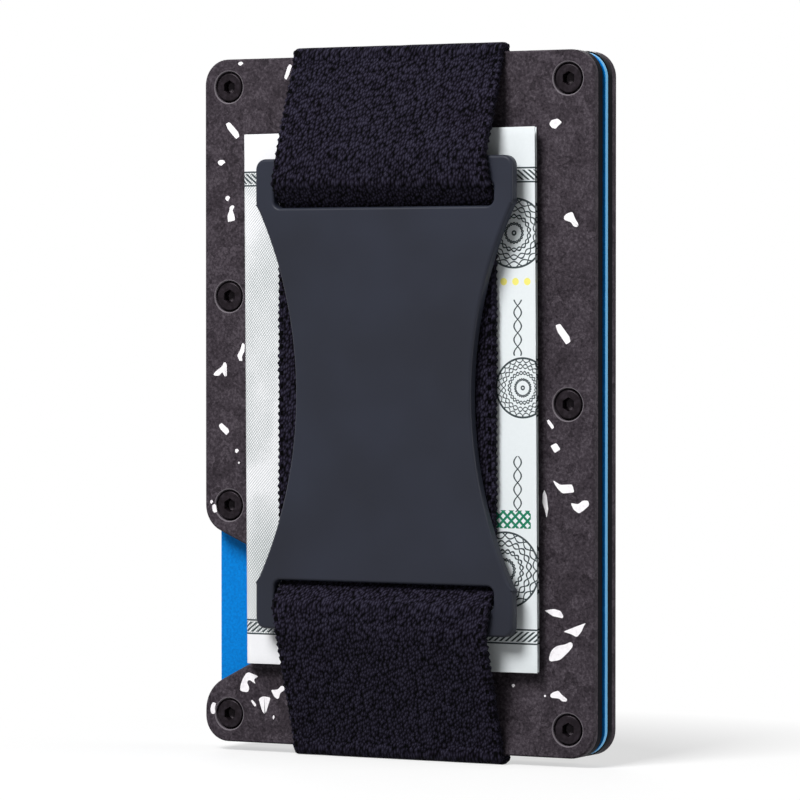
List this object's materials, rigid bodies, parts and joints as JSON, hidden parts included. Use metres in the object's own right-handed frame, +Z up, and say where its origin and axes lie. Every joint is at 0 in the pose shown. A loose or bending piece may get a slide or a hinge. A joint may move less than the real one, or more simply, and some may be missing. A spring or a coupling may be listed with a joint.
{
  "type": "minimalist wallet",
  "caption": "Slim rigid-plate card wallet with a thumb notch, elastic-joined halves, a card inside, and a cash strap whose hourglass clip holds folded notes.",
  "frame": {"origin": "under the middle of the wallet's whole box, on the surface it stands on: the strap's lower wrap is at Z 0", "axes": "+Z up along the long side, +X to the card mouth, -Y the cash strap side, +Y the plain back"},
  "size_m": [0.0546, 0.0122, 0.0883],
  "materials": {
    "forged_carbon": "forged carbon composite with pale chips, satin",
    "black_anodised": "black anodised, bead blasted",
    "black_screw_steel": "black oxide",
    "strap_webbing": "woven elastic, black",
    "band_elastic": "woven elastic, black",
    "clip_moulding": "slate grey, satin moulded",
    "card_blue": "bright blue, satin",
    "note_paper": "pale banknote paper, printed"
  },
  "bodies": {
    "front_half": {"front_outer_plate": "forged_carbon", "front_inner_plate": "black_anodised", "front_screw_1": "black_screw_steel", "front_screw_2": "black_screw_steel", "front_screw_3": "black_screw_steel", "front_screw_4": "black_screw_steel", "front_screw_5": "black_screw_steel", "front_screw_6": "black_screw_steel", "front_screw_7": "black_screw_steel", "cash_strap": "strap_webbing", "elastic_band": "band_elastic", "elastic_web": "band_elastic"},
    "rear_half": {"rear_inner_plate": "black_anodised", "rear_outer_plate": "forged_carbon", "rear_screw_1": "black_screw_steel", "rear_screw_2": "black_screw_steel", "rear_screw_3": "black_screw_steel", "rear_screw_4": "black_screw_steel", "rear_screw_5": "black_screw_steel", "rear_screw_6": "black_screw_steel", "rear_screw_7": "black_screw_steel"},
    "clip": {"cash_clip": "clip_moulding"},
    "card": {"payment_card": "card_blue"},
    "notes": {"folded_notes": "note_paper"}
  },
  "joints": [
    {"name": "halves_spread", "type": "slide", "parent": "front_half", "child": "rear_half", "axis": [0, 1, 0], "range_m": [0, 0.008], "stiffness_N_per_m": 1500, "springref_m": -0.003, "deforming": ["elastic_band", "elastic_web"]},
    {"name": "clip_lift", "type": "slide", "parent": "front_half", "child": "clip", "axis": [0, -1, 0], "range_m": [0, 0.006], "stiffness_N_per_m": 400, "springref_m": -0.004, "deforming": ["cash_strap"]},
    {"name": "card_slide", "type": "slide", "parent": "front_half", "child": "card", "axis": [1, 0, 0], "range_m": [0, 0.046]},
    {"name": "note_slide", "type": "slide", "parent": "front_half", "child": "notes", "axis": [1, 0, 0], "range_m": [-0.032, 0.032]}
  ]
}
